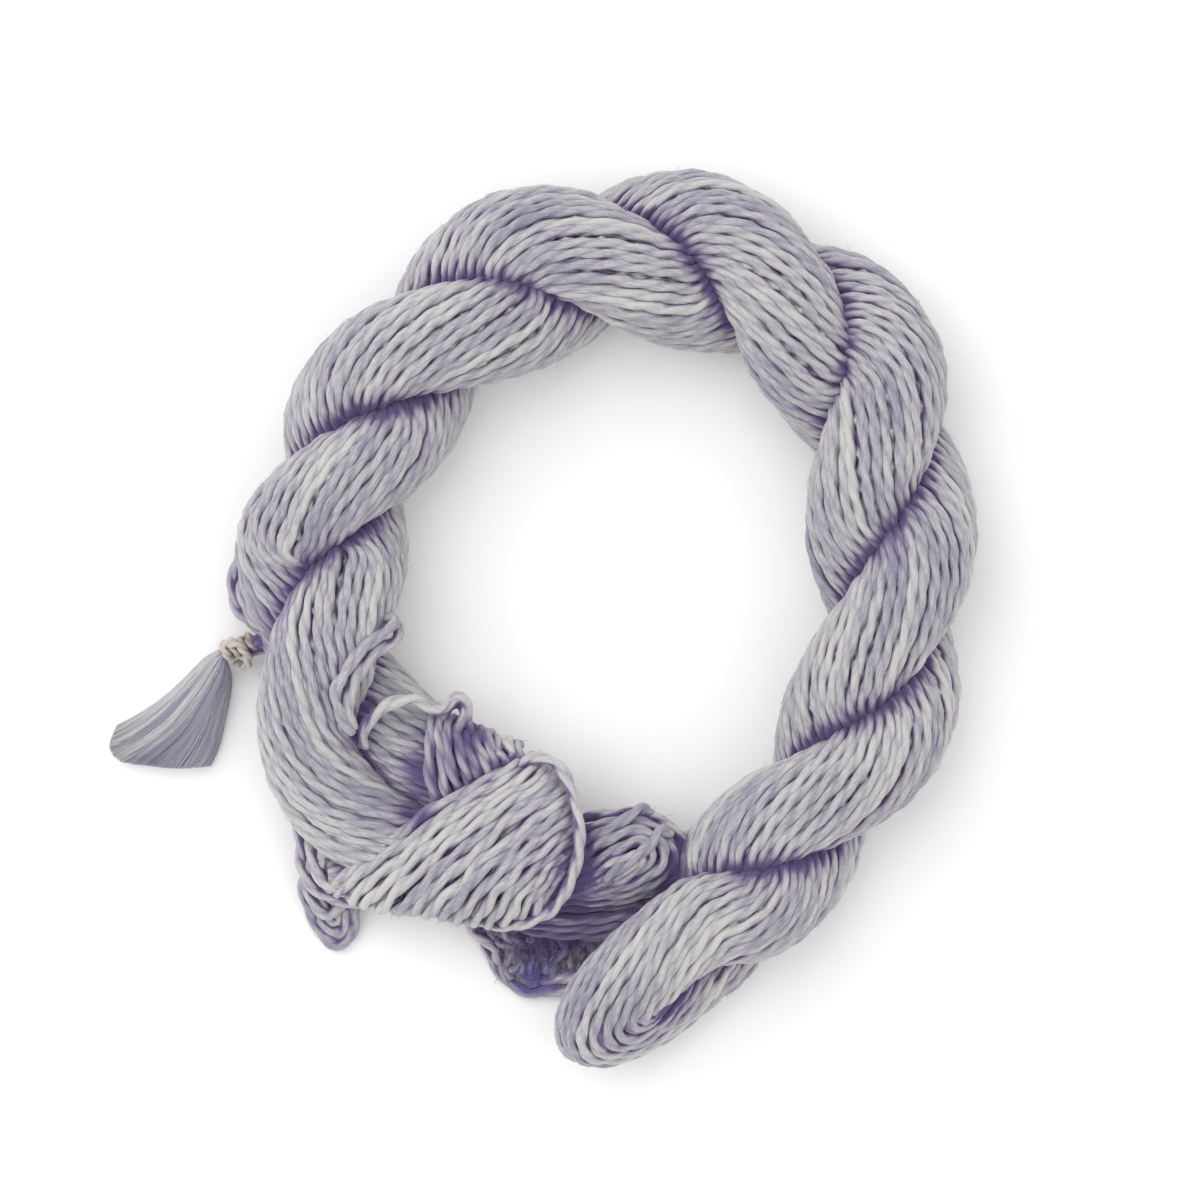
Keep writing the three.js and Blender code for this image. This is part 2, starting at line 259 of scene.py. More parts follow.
# x, y, z, half width, half height, twist against the rope's, and how free the turns are to follow
knot_to_ring = [
    (17.5, -41.0, 8.4, 6.6, 4.4, 0, 0),
    (14.5, -41.1, 8.3, 6.7, 4.5, 0, 0),
    (6.6, -42.0, 8.2, 6.8, 5.2, 0.1, 0),
    (-3.9, -42.3, 7.7, 7.8, 6.1, 0.3, 0),
    (-15.8, -41.3, 7.7, 8.2, 6.3, 0.4, 0),
    (-26.9, -37.2, 8.7, 8.2, 6.5, 0.5, 0),
    (-36.2, -29.9, 10.1, 8.3, 6.5, 0.6, 0),
    (-40.3, -18.9, 12.5, 8.3, 6.8, 0.8, 0),
    (-37.2, -5.3, 15.5, 9.2, 6.8, 1.0, 0),
]
into_loop_end = [
    (21.6, -54.8, 17.2, 7.6, 6.4, 1, 0),
    (17.0, -58.7, 16.6, 7.9, 6.5, 1, 0),
]
out_of_loop_end = [
    (20.9, -63.2, 6.9, 7.6, 6.6, 1, 0),
    (25.9, -59.2, 6.2, 7.5, 6.4, 1, 0),
    (30.9, -54.0, 6.4, 7.5, 6.5, 1.0, 0),
]
ring_to_knot = [
    (-38.2, -6.1, 6.0, 8.2, 6.5, 1.0, 0),
    (-30.8, -12.8, 7.0, 8.3, 6.8, 0.8, 0),
    (-23.0, -20.9, 8.0, 8.2, 6.5, 0.5, 0),
    (-13.8, -26.7, 9.7, 7.8, 6.1, 0.4, 0),
    (-5.3, -31.8, 12.5, 7.8, 5.4, 0.3, 0),
    (0.9, -36.9, 14.8, 6.8, 4.4, 0.3, 0),
]


def rope_strand(strand, turns):
    """A helix about the rope's centre line, half a turn a row, with the way to that centre line."""
    x, y, offset, radius = along_rows(rope, turns).T
    ahead = along_rows(rope, turns + 0.001) - along_rows(rope, turns - 0.001)
    forward = ahead[:, :2] / np.linalg.norm(ahead[:, :2], axis=1, keepdims=True)
    phase = np.pi * (turns + strand)
    aside, lift = offset * np.cos(phase), 0.86 * offset * np.sin(phase)
    high = np.abs(np.sin(phase))
    wide, tall = radius * (1 + 0.1 * high), 0.86 * radius * (1.1 - 0.1 * high)
    one, none = np.ones_like(x), np.zeros_like(x)
    dx, dy = -forward[:, 1] * aside, forward[:, 0] * aside
    centre = [x + dx, y + dy, rope_height + lift]
    return np.column_stack([*centre, wide, tall, one, none, -dx, -dy, -lift, one])


def with_no_rope(rows):
    """The rows with four more columns of 0: no way to the rope's centre line, and no pull to it."""
    return np.hstack([np.array(rows, float), np.zeros((len(rows), 4))])


class Bundle:
    """A path with its directions: forward, level left (Z x forward) and up (forward x left)."""

    def __init__(self, rows, step):
        table, self.reach = evenly(rows, step)
        self.centre, self.wide, self.tall = table[:, :3], table[:, 3], table[:, 4]
        self.table = table
        forward = np.gradient(self.centre, axis=0)
        self.forward = forward / np.linalg.norm(forward, axis=1, keepdims=True)
        left = np.cross([0.0, 0.0, 1.0], self.forward)
        self.left = left / np.linalg.norm(left, axis=1, keepdims=True)
        self.up = np.cross(self.forward, self.left)
        length = max(step, self.reach[1])
        self.bend = np.gradient(self.forward, length, axis=0)


def strand_twist(bundle, rate):
    """Angle of the turns against level, in radians: they wind the other way to the rope."""
    step = np.concatenate([[0], np.diff(bundle.reach)])
    return np.cumsum(rate * bundle.table[:, 5] * step)


def drift(count, reach, longest, shortest, size):
    """A slow random drift for each of count yarns: a sum of five sines along its length."""
    waves = tau / chance.uniform(shortest, longest, (count, 5, 1))
    sizes = chance.normal(0, size / 1.6, (count, 5, 1))
    return (sizes * np.sin(waves * reach + chance.uniform(0, tau, (count, 5, 1)))).sum(1)


def ring_of_turns(bundle, count, depth, twist, loose=1.0, shift=0.0):
    """count yarns side by side round a bundle at one depth under its surface, drifting a little.
    Towards the rope's centre they are pressed flat; inside a tight bend they close up."""
    spacing = tau / count
    start = spacing * (np.arange(count) + shift + chance.uniform(-0.12, 0.12, count))
    angle = start[:, None] + twist + drift(count, bundle.reach, 90, 24, 0.10 * spacing * loose)
    sink = depth + drift(count, bundle.reach, 70, 18, 0.16 * loose)
    wide = np.maximum(bundle.wide - sink, 0.4)
    tall = np.maximum(bundle.tall - sink, 0.4)
    offset = (wide * np.cos(angle))[..., None] * bundle.left
    offset += (tall * np.sin(angle))[..., None] * bundle.up
    inward, weight = bundle.table[:, 7:10], bundle.table[:, 10]
    length = np.linalg.norm(inward, axis=1)
    toward = inward / np.maximum(length, 1e-6)[:, None]
    room = length / np.maximum(weight, 1e-3) - 0.95
    over = np.maximum((offset * toward).sum(2) - room, 0) * np.clip(weight, 0, 1)
    offset -= (0.75 * over)[..., None] * toward
    tight = np.maximum((offset * bundle.bend).sum(2) - 0.8, 0)
    curl = np.maximum((bundle.bend**2).sum(1), 1e-6)
    offset -= (tight / curl)[..., None] * bundle.bend
    return bundle.centre + offset


# The yarn itself: two plies, each a soft round single, twisted left-handed round each other. Many
# yarns are swept at once, and each piece keeps its vertices for the painted shade and dye at the end.
def two_ply(paths, pitch, single, spread, sides, twist_from):
    """For every yarn and station the outline of two circles that touch, turned about the path:
    the reach of the outline at angle v is d |cos v| + sqrt(a^2 - d^2 sin^2 v). The product of two
    slow sines along the yarn makes it up to 8% thicker and thinner."""
    forward = np.gradient(paths, axis=1)
    forward /= np.linalg.norm(forward, axis=2, keepdims=True)
    normal = np.empty_like(forward)
    carried = np.cross(forward[:, 0], [0.31, -0.52, 0.79])
    for station in range(paths.shape[1]):
        ahead = forward[:, station]
        carried = carried - ahead * (carried * ahead).sum(1, keepdims=True)
        carried /= np.linalg.norm(carried, axis=1, keepdims=True)
        normal[:, station] = carried
    binormal = np.cross(forward, normal)
    steps = np.linalg.norm(np.diff(paths, axis=1), axis=2)
    reach = np.concatenate([np.zeros((len(paths), 1)), np.cumsum(steps, axis=1)], axis=1)
    v = tau * np.arange(sides) / sides
    outline = spread * np.abs(np.cos(v)) + np.sqrt(single**2 - (spread * np.sin(v)) ** 2)
    first = twist_from[:, None]
    thick = np.sin(0.27 * reach + 5 * first) * np.sin(0.69 * reach + 3 * first)
    outline = outline * (1 + 0.08 * thick)[..., None]
    angle = v + (first - tau * reach / pitch)[..., None]
    across = (outline * np.cos(angle))[..., None] * normal[:, :, None]
    across += (outline * np.sin(angle))[..., None] * binormal[:, :, None]
    return paths[:, :, None] + across, reach


pieces = []


def tubes(name, rings, reach, material, tone, node):
    """One closed tube for each yarn of rings (yarn, station, side, xyz), as one mesh object."""
    yarns, stations, sides = rings.shape[:3]
    ends = rings[:, [0, -1]].mean(axis=2)
    body = rings.reshape(-1, 3)
    vertices = np.vstack([body, ends.reshape(-1, 3)])
    y, s, v = np.meshgrid(np.arange(yarns), np.arange(stations - 1), np.arange(sides), indexing="ij")
    at = lambda station, side: (y * stations + station) * sides + side % sides
    quads = np.stack([at(s, v), at(s, v + 1), at(s + 1, v + 1), at(s + 1, v)], axis=-1)
    along = lambda station: reach[y, station] / 10
    turn = lambda side: side / sides
    quad_uv = np.stack([
        np.stack([along(s), turn(v)], -1),
        np.stack([along(s), turn(v + 1)], -1),
        np.stack([along(s + 1), turn(v + 1)], -1),
        np.stack([along(s + 1), turn(v)], -1),
    ], axis=-2)
    y, v = np.meshgrid(np.arange(yarns), np.arange(sides), indexing="ij")
    first, last = y * stations * sides, ((y + 1) * stations - 1) * sides
    hub = len(body) + 2 * y
    start = np.stack([hub, first + (v + 1) % sides, first + v], axis=-1)
    stop = np.stack([hub + 1, last + v, last + (v + 1) % sides], axis=-1)
    corners = np.concatenate([quads.ravel(), start.ravel(), stop.ravel()])
    uv = np.concatenate([quad_uv.reshape(-1, 2), np.zeros((start.size + stop.size, 2))])
    sizes = np.concatenate([np.full(quads[..., 0].size, 4), np.full(2 * yarns * sides, 3)])
    mesh = bpy.data.meshes.new(name)
    mesh.vertices.add(len(vertices))
    mesh.vertices.foreach_set("co", (vertices * 0.001).ravel())
    mesh.loops.add(len(corners))
    mesh.loops.foreach_set("vertex_index", corners.astype(np.int32))
    mesh.polygons.add(len(sizes))
    starts = np.concatenate([[0], np.cumsum(sizes)[:-1]]).astype(np.int32)
    mesh.polygons.foreach_set("loop_start", starts)
    mesh.polygons.foreach_set("use_smooth", np.ones(len(sizes), bool))
    mesh.uv_layers.new(name="yarn").data.foreach_set("uv", uv.ravel())
    mesh.update(calc_edges=True)
    tones = np.concatenate([np.repeat(tone, stations * sides), np.repeat(tone, 2)])
    mesh.attributes.new("tone", "FLOAT", "POINT").data.foreach_set("value", tones)
    mesh.materials.append(material)
    made = bpy.data.objects.new(name, mesh)
    bpy.context.collection.objects.link(made)
    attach(made, "root")
    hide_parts(node)
    pieces.append((made, vertices))
    return made


# The part is centred on its footprint, which moves the tables by this much.
centring = np.array([0.32, -0.04, 0.0])
crowd = []
crowd_tangents = []


def yarn_piece(name, paths, sides=12, node="skein", slot="yarn", material=None, **ply):
    """Two-ply yarns along paths (yarn, station, xyz) as one piece of the skein."""
    shape = {"pitch": 10.8, "single": 0.74, "spread": 0.32, **ply}
    paths = paths + centring
    start = chance.uniform(0, tau, len(paths))
    rings, reach = two_ply(paths, sides=sides, twist_from=start, **shape)
    rings[..., 2] = np.maximum(rings[..., 2], 0.02)
    reach = reach + chance.uniform(0, 400, (len(paths), 1))
    ahead = np.gradient(paths, axis=1)
    crowd.append(paths.reshape(-1, 3))
    crowd_tangents.append((ahead / np.linalg.norm(ahead, axis=2, keepdims=True)).reshape(-1, 3))
    tone = chance.uniform(-1, 1, len(paths))
    return tubes(name, rings, reach, material or lavender_wool, tone, node)


# The two strands of the rope. Each is the same bundle of turns: an outer ring that shows, a second
# ring that shows between its turns, and a core painted dark as shade that stands for the turns inside.
quarter = np.arange(0, 7.751, 0.25)
down_strand = Bundle(
    np.vstack([
        with_no_rope(knot_to_ring),
        rope_strand(0, 8.25 - quarter),
        with_no_rope(into_loop_end),
    ]),
    1.12,
)
up_strand = Bundle(
    np.vstack([
        with_no_rope(out_of_loop_end),
        rope_strand(1, 0.75 + quarter[:-2]),
        with_no_rope(ring_to_knot),
    ]),
    1.12,
)
# round the loop end the turns go on winding by this angle, and the strand leans over; each turn has
# this many stations there
wound, lean = -1.4, 0.50
loop_stations = 24
down_wind = strand_twist(down_strand, winding)
up_wind = strand_twist(up_strand, winding) + down_wind[-1] + np.pi - 2 * lean + wound


def half_ellipse(start, stop, out, points):
    """Points between start and stop on half an ellipse that reaches out from their middle."""
    turn = (np.pi * np.arange(1, points + 1) / (points + 1))[None, :, None]
    middle, half = (start + stop)[:, None] / 2, (start - stop)[:, None] / 2
    return middle + half * np.cos(turn) + out[:, None] * np.sin(turn)


def round_loop_end(down, up, loop_reach):
    """Each yarn's way from the end of its down leg to the start of its up leg: its place in the
    bundle is turned by the angle wound while the bundle goes round half an ellipse."""
    high, low = down_strand.centre[-1], up_strand.centre[0]
    middle, half = (high + low) / 2, np.linalg.norm(high - low) / 2
    toward = (high - low) / (2 * half)
    away = down_strand.forward[-1] - up_strand.forward[0]
    away = away - toward * (away @ toward)
    away /= np.linalg.norm(away)
    side = np.cross(away, toward)
    first, last = down[:, -1] - high, up[:, 0] - low
    place = np.stack([first @ toward, -(last @ toward)]), np.stack([first @ side, last @ side])
    far, angle = np.hypot(*place), np.arctan2(place[1], place[0])
    turned = wound + (angle[1] - angle[0] - wound + np.pi) % tau - np.pi
    turn = np.linspace(0, np.pi, loop_stations + 2)[1:-1]
    far = far[0][:, None] + (far[1] - far[0])[:, None] * turn / np.pi
    angle = angle[0][:, None] + turned[:, None] * turn / np.pi
    out = half + far * np.cos(angle)
    ahead = (loop_reach * np.maximum(out, 0.6) + 0.8) * np.sin(turn)
    curve = middle + (out * np.cos(turn))[..., None] * toward
    return curve + ahead[..., None] * away + (far * np.sin(angle))[..., None] * side


def whole_turns(count, depth, loose, knot_reach, loop_reach, shift=0.0):
    """count yarns of both strands at one depth, each joined to its other leg round the loop end,
    and to its mirror image where the turns come back out of the knot at the bundle's start."""
    down = ring_of_turns(down_strand, count, depth, down_wind, loose, shift)
    up = ring_of_turns(up_strand, count, depth, up_wind, loose, shift)
    turns = np.concatenate([down, round_loop_end(down, up, loop_reach), up], axis=1)
    joints = down.shape[1] + np.array([0, loop_stations])
    stations = np.arange(turns.shape[1])[:, None]
    for _ in range(8):
        soft = turns.copy()
        soft[:, 1:-1] = (turns[:, :-2] + 2 * turns[:, 1:-1] + turns[:, 2:]) / 4
        near_joint = np.exp(-(((stations - joints) / 5.0) ** 2)).sum(1)[:, None]
        turns = turns + (soft - turns) * near_joint
    near = np.r_[0 : count // 4, count // 2 : 3 * count // 4]
    far = np.r_[count // 2 - 1 : count // 4 - 1 : -1, count - 1 : 3 * count // 4 - 1 : -1]
    apart = np.linalg.norm(down[far, 0] - down[near, 0], axis=1, keepdims=True) / 2
    away = np.array([1.0, 0.02, -0.12]) * (4.2 + knot_reach * apart)
    bend = half_ellipse(down[far, 0], down[near, 0], away, 19)
    return np.concatenate([turns[far, ::-1], bend, turns[near]], axis=1)


outer = whole_turns(24, 0.9, 1.0, 0.62, 1.5)
for part, group in enumerate(np.array_split(np.arange(12), 3)):
    yarn_piece(f"outer_turns_{part + 1}", outer[group], 10)
inner = whole_turns(24, 1.75, 0.8, 0.4, 1.4, 0.5)
yarn_piece("inner_turns", inner[:, ::2], sides=8)


def core(name, bundle, depth, sides=16):
    """A plain elliptical tube, depth inside a bundle's surface."""
    v = tau * np.arange(sides) / sides
    wide, tall = np.maximum(bundle.wide - depth, 0.3), np.maximum(bundle.tall - depth, 0.3)
    rings = (wide[:, None] * np.cos(v))[..., None] * bundle.left[:, None]
    rings += (tall[:, None] * np.sin(v))[..., None] * bundle.up[:, None]
    tight = np.maximum((rings * bundle.bend[:, None]).sum(2) - 0.8, 0)
    curl = np.maximum((bundle.bend**2).sum(1), 1e-6)
    rings -= (tight / curl[:, None])[..., None] * bundle.bend[:, None]
    rings = (rings + (bundle.centre + centring)[:, None])[None, ::2]
    reach = bundle.reach[None, ::2]
    tubes(name, rings, reach, lavender_wool, np.zeros(1), "skein")


core("core_of_down_strand", down_strand, 3.0)
core("core_of_up_strand", up_strand, 3.0)


def core_bend(name, path, radius):
    """A plain round tube that fills the middle of a bend."""
    rings, reach = two_ply(path + centring, 50.0, radius, 0.0, 16, np.zeros(1))
    tubes(name, rings, reach, lavender_wool, np.zeros(1), "skein")


away = np.array([[-10.0, -9.0, 0.0]])
loop_core = half_ellipse(down_strand.centre[-1:], up_strand.centre[:1], away, 12)
core_bend("core_of_loop_end", loop_core, 4.4)


# The knot. Beneath it the turns run back to the loop end; over it they are fanned out, from their
# fold at the right to where they tuck under again at the left and along the lower edge.
def along_to(rows, count):
    """One table's smooth curve at count stations that lie evenly along it."""
    dense, marks = evenly(np.array(rows, float), 0.1)
    at = np.linspace(0, marks[-1], count)
    return np.stack([np.interp(at, marks, column) for column in dense[:, :3].T], axis=1)


def resampled(curves, step):
    """Smooth curves through each of a list of tables, all with as many stations as the longest."""
    lengths = [evenly(np.array(rows, float), 0.5)[1][-1] for rows in curves]
    count = int(max(lengths) / step) + 1
    return np.stack([along_to(rows, count) for rows in curves])


under_knot = Bundle(
    with_no_rope([
        (-36.9, -44.0, 6.3, 3.4, 3.4, 0.2, 0),
        (-32.5, -43.8, 5.7, 3.8, 4.4, 0.2, 0),
        (-24.3, -44.2, 5.0, 4.2, 4.8, 0.2, 0),
        (-15.5, -45.8, 4.6, 4.6, 4.8, 0.2, 0),
        (-6.0, -47.6, 4.6, 5.4, 4.8, 0.2, 0),
        (2.9, -49.0, 4.6, 6.0, 4.8, 0.2, 0),
        (11.4, -49.4, 4.6, 5.6, 4.4, 0.2, 0),
        (18.9, -49.0, 4.6, 4.4, 3.7, 0.2, 0),
        (23.0, -49.0, 4.6, 3.4, 3.0, 0.2, 0),
    ]),
    1.2,
)
under_turns = ring_of_turns(under_knot, 15, 1.0, strand_twist(under_knot, winding))
yarn_piece("turns_under_knot", under_turns, 10)
core("core_under_knot", under_knot, 1.9)

# x, y where a turn of the fan folds over at the right, then where it tucks under at the left
fan_edges = np.array([
    (-2.6, -23.5, -38.2, -45.7),
    (1.7, -25.3, -29.6, -48.6),
    (4.4, -29.9, -19.6, -50.0),
    (5.6, -35.9, -10.0, -51.6),
    (5.4, -41.8, -0.8, -50.6),
])
# how high its turns lie along the way, for the first, the middle and the last
fan_heights = np.array([
    (17.2, 17.8, 17.8, 17.2, 16.0, 14.4, 12.4, 10.8, 9.6),
    (19.6, 20.0, 20.2, 20.2, 19.8, 19.2, 18.6, 17.8, 17.0),
    (15.8, 16.0, 16.2, 16.2, 16.0, 15.6, 15.2, 14.8, 14.4),
])
way = np.array([0, 0.09, 0.2, 0.33, 0.46, 0.60, 0.74, 0.87, 1.0])


def fan_of_turns(count, shift, lower):
    """Turn number n of the fan crosses it from one edge to the other in a slight bow: its place on
    the edges and its heights are read at the fraction (n + shift) / count of the tables. Within
    6 mm of an edge it comes down on a quarter circle, and it goes on under the fan."""
    share = (np.arange(count) + shift) / count
    edge = along_rows(fan_edges, 4 * share)
    high = along_rows(fan_heights, 2 * share)
    start, stop = edge[:, None, :2], edge[:, None, 2:]
    length = np.linalg.norm(stop - start, axis=2, keepdims=True)
    ahead = (stop - start) / length
    aside = np.stack([ahead[..., 1], -ahead[..., 0]], axis=-1)
    bow = 1.5 * np.sin(np.pi * way) * (1 - 0.5 * share[:, None])
    even = np.minimum(length[..., 0] / 30, 1)
    bow = bow + chance.normal(0, 0.3, bow.shape) * even
    place = start + (stop - start) * way[:, None] + aside * bow[..., None]
    round_off = np.minimum(6.0, 0.45 * length[..., 0])
    for gone in (way, 1 - way):
        near = np.clip(gone * length[..., 0] / round_off, 0, 1)
        high = high - 0.62 * round_off * (1 - np.sqrt(1 - (1 - near) ** 2))
    high = high + chance.normal(0, 0.2, high.shape) * even
    middle = np.concatenate([place, high[..., None]], axis=2)
    under = np.array([(0.05, -1.6), (0.35, -3.0), (0.95, -4.4)]) * np.ones((count, 1, 1))
    under[..., :1] *= round_off[..., None]
    drop = high[:, :1, None] + under[:, ::-1, 1:] * round_off[..., None] / 6
    before = np.concatenate([start + ahead * under[:, ::-1, :1], drop], axis=2)
    drop = high[:, -1:, None] + under[..., 1:] * round_off[..., None] / 6
    after = np.concatenate([stop - ahead * under[..., :1], drop], axis=2)
    curves = np.concatenate([before, middle, after], axis=1)
    curves[..., 2] = np.maximum(curves[..., 2] - lower, 1.1)
    return resampled(curves, 1.0)


yarn_piece("fan", fan_of_turns(15, 0.5, 0.0), pitch=12.5, single=0.80)
yarn_piece("fan_second_layer", fan_of_turns(13, 0.9, 1.5), 8)
fan_core = Bundle(
    with_no_rope([
        (2.0, -36.0, 13.8, 8.9, 3.6, 0, 0),
        (-2.2, -36.9, 14.5, 10.6, 3.8, 0, 0),
        (-9.0, -38.6, 14.6, 9.2, 3.8, 0, 0),
        (-15.3, -39.8, 14.0, 7.7, 3.6, 0, 0),
        (-20.9, -41.0, 13.0, 5.6, 3.2, 0, 0),
        (-26.9, -42.8, 11.2, 3.4, 2.6, 0, 0),
    ]),
    1.2,
)
core("core_of_fan", fan_core, 0.6)

# The round end of the turns at the right of the knot: they open there into loops that lie over
# each other. x, y, z along each loop, from where it comes out of the knot to where it goes back.
loops_at_knot = [
    [
        (2.0, -35.0, 9.6), (5.6, -34.4, 10.4), (8.3, -33.5, 11.0), (12.1, -33.1, 11.4),
        (15.6, -32.8, 11.4), (18.9, -33.8, 11.2), (21.9, -35.6, 10.8), (23.8, -38.5, 10.2),
        (23.5, -41.8, 9.8), (21.4, -44.6, 9.8), (17.6, -46.6, 10.0), (12.7, -47.8, 10.4),
        (7.8, -48.0, 10.4), (3.4, -47.6, 9.6), (0.4, -46.6, 8.6),
    ],
    [
        (2.0, -37.2, 10.8), (6.1, -36.0, 12.0), (10.0, -35.0, 12.7), (13.8, -34.2, 13.0),
        (16.8, -34.4, 12.9), (19.8, -36.0, 12.6), (21.9, -38.8, 12.2), (21.9, -41.8, 11.8),
        (19.8, -44.2, 11.8), (15.4, -46.2, 12.0), (10.0, -46.9, 12.2), (5.0, -46.7, 11.6),
        (1.2, -45.4, 10.0),
    ],
    [
        (1.6, -40.0, 11.4), (5.6, -38.8, 12.8), (8.9, -36.8, 13.8), (12.7, -34.8, 14.4),
        (15.1, -33.1, 14.4), (16.4, -32.2, 13.4), (17.8, -32.6, 11.6), (18.6, -34.0, 10.4),
    ],
    [
        (2.0, -41.8, 11.6), (5.9, -41.0, 13.0), (9.4, -38.3, 14.0), (13.2, -36.4, 14.6),
        (16.5, -35.8, 14.6), (19.2, -37.2, 14.2), (20.6, -39.4, 13.8), (20.0, -41.8, 13.5),
        (17.0, -44.0, 13.4), (12.7, -45.6, 13.4), (7.8, -46.2, 13.0), (4.5, -46.1, 12.0),
        (1.6, -44.6, 10.6),
    ],
    [
        (2.4, -44.0, 11.6), (5.6, -43.2, 13.0), (9.4, -41.0, 14.2), (13.2, -38.8, 15.0),
        (16.5, -37.5, 15.0), (18.1, -38.5, 14.8), (18.4, -40.4, 14.6), (16.5, -42.3, 14.5),
        (12.7, -44.2, 14.2), (8.3, -45.3, 13.6), (5.1, -45.6, 12.4), (2.0, -45.2, 11.0),
    ],
    [
        (2.6, -46.2, 10.8), (5.6, -45.0, 12.6), (10.0, -42.6, 14.4), (13.8, -40.7, 15.2),
        (15.9, -39.9, 15.2), (16.5, -41.0, 15.0), (14.9, -42.3, 14.8), (11.1, -44.0, 14.2),
        (6.2, -45.2, 13.0), (3.0, -45.8, 11.4),
    ],
    [
        (9.2, -45.8, 12.6), (11.1, -43.7, 14.9), (14.9, -41.0, 15.9), (18.1, -38.3, 15.6),
        (19.8, -36.0, 14.4), (21.6, -36.4, 12.6),
    ],
]
yarn_piece("loops_at_knot", resampled(loops_at_knot, 0.9))

# Deep turns under these loops, between the knot and the loop end, painted dark with shade and dye. x,
# y, z along each, from the knot's lower edge to the rope.
deep_turns = [
    [
        (-2.0, -50.4, 4.2), (-0.9, -52.1, 4.0), (2.3, -54.0, 3.6), (7.2, -53.5, 3.4),
        (12.1, -51.3, 3.6), (16.5, -48.6, 4.0), (20.4, -46.0, 4.4),
    ],
    [
        (-2.6, -49.6, 5.6), (-0.9, -50.8, 5.4), (2.3, -52.7, 5.0), (7.2, -52.1, 4.8),
        (12.1, -49.9, 5.0), (16.5, -47.4, 5.2), (20.0, -45.0, 5.4),
    ],
    [
        (-2.6, -48.0, 6.6), (0.2, -49.6, 6.6), (4.0, -50.9, 6.2), (8.3, -50.2, 6.0),
        (12.4, -48.4, 6.2), (16.4, -46.2, 6.4),
    ],
]
yarn_piece("deep_turns", resampled(deep_turns, 1.0))

# Turns that lie across the strand behind the fan: they come up over its inner edge, side by side,
# and go down under the fan. Three of them, x, y, z along each; the others lie between these.
across_left = [
    (-17.4, -15.6, 12.8), (-19.4, -17.4, 15.4), (-19.8, -21.0, 16.6), (-19.4, -25.0, 17.0),
    (-18.8, -28.6, 16.8), (-17.2, -32.4, 15.0),
]
across_middle = [
    (-11.2, -18.4, 12.2), (-12.2, -19.2, 14.8), (-11.9, -21.4, 16.4), (-10.9, -23.8, 17.0),
    (-9.8, -26.4, 16.8), (-8.4, -29.4, 15.2),
]
across_right = [
    (-4.4, -21.2, 12.2), (-4.5, -21.8, 14.4), (-4.0, -22.9, 15.8), (-3.4, -24.2, 16.2),
    (-2.8, -25.8, 15.8), (-2.0, -27.8, 14.4),
]
across = np.array([across_left, across_middle, across_right], float).reshape(3, 18)
across = along_rows(across, np.linspace(0, 2, 10)).reshape(10, 6, 3)
across = across + chance.normal(0, 0.28, across.shape) * (1, 1, 0.8)
yarn_piece("turns_across_knot", resampled(across, 0.9))

# A matted clump of turns on the floor between the knot and the loop end, painted with dye and shade:
# each turn wanders from the knot's lower edge to the clump's tip and back.
mats, along_mat = np.linspace(0, 1, 14)[:, None], np.linspace(0, 1, 6)
mat_from = np.array([-10.8, -51.0]) + mats * (21.0, 1.2)
mat_tip = np.array([-6.4, -61.8]) + mats * (12.4, 0.2)
mat_places = mat_from[:, None] + (mat_tip - mat_from)[:, None] * along_mat[:, None]
mat_places = mat_places + chance.normal(0, 0.8, mat_places.shape)
mat_high = 4.0 * (1 - along_mat) ** 1.5 + 1.2 + chance.uniform(0, 0.8, (14, 6))
mat_paths = resampled(np.concatenate([mat_places, mat_high[..., None]], axis=2), 0.9)
yarn_piece("matted_turns", mat_paths, 8)
# short fine fibres that wander out of the clump
tufts = 500
fluff_turn, fluff_at = chance.integers(1, 13, tufts), chance.integers(2, mat_paths.shape[1] - 1, tufts)
fluff_from = mat_paths[fluff_turn, fluff_at]
fluff_steps = chance.normal(0, 0.7, (tufts, 6, 3)) * (1, 1, 0.35)
fluff = fluff_from[:, None] + np.cumsum(fluff_steps, axis=1) * 0.6 + centring + (0, 0, 0.9)
fluff[..., 2] = np.maximum(fluff[..., 2], 0.1)
rings, reach = two_ply(fluff, 400.0, 0.06, 0.0, 3, np.zeros(tufts))
tubes("fluff", rings, reach, lavender_wool, np.zeros(tufts), "skein")

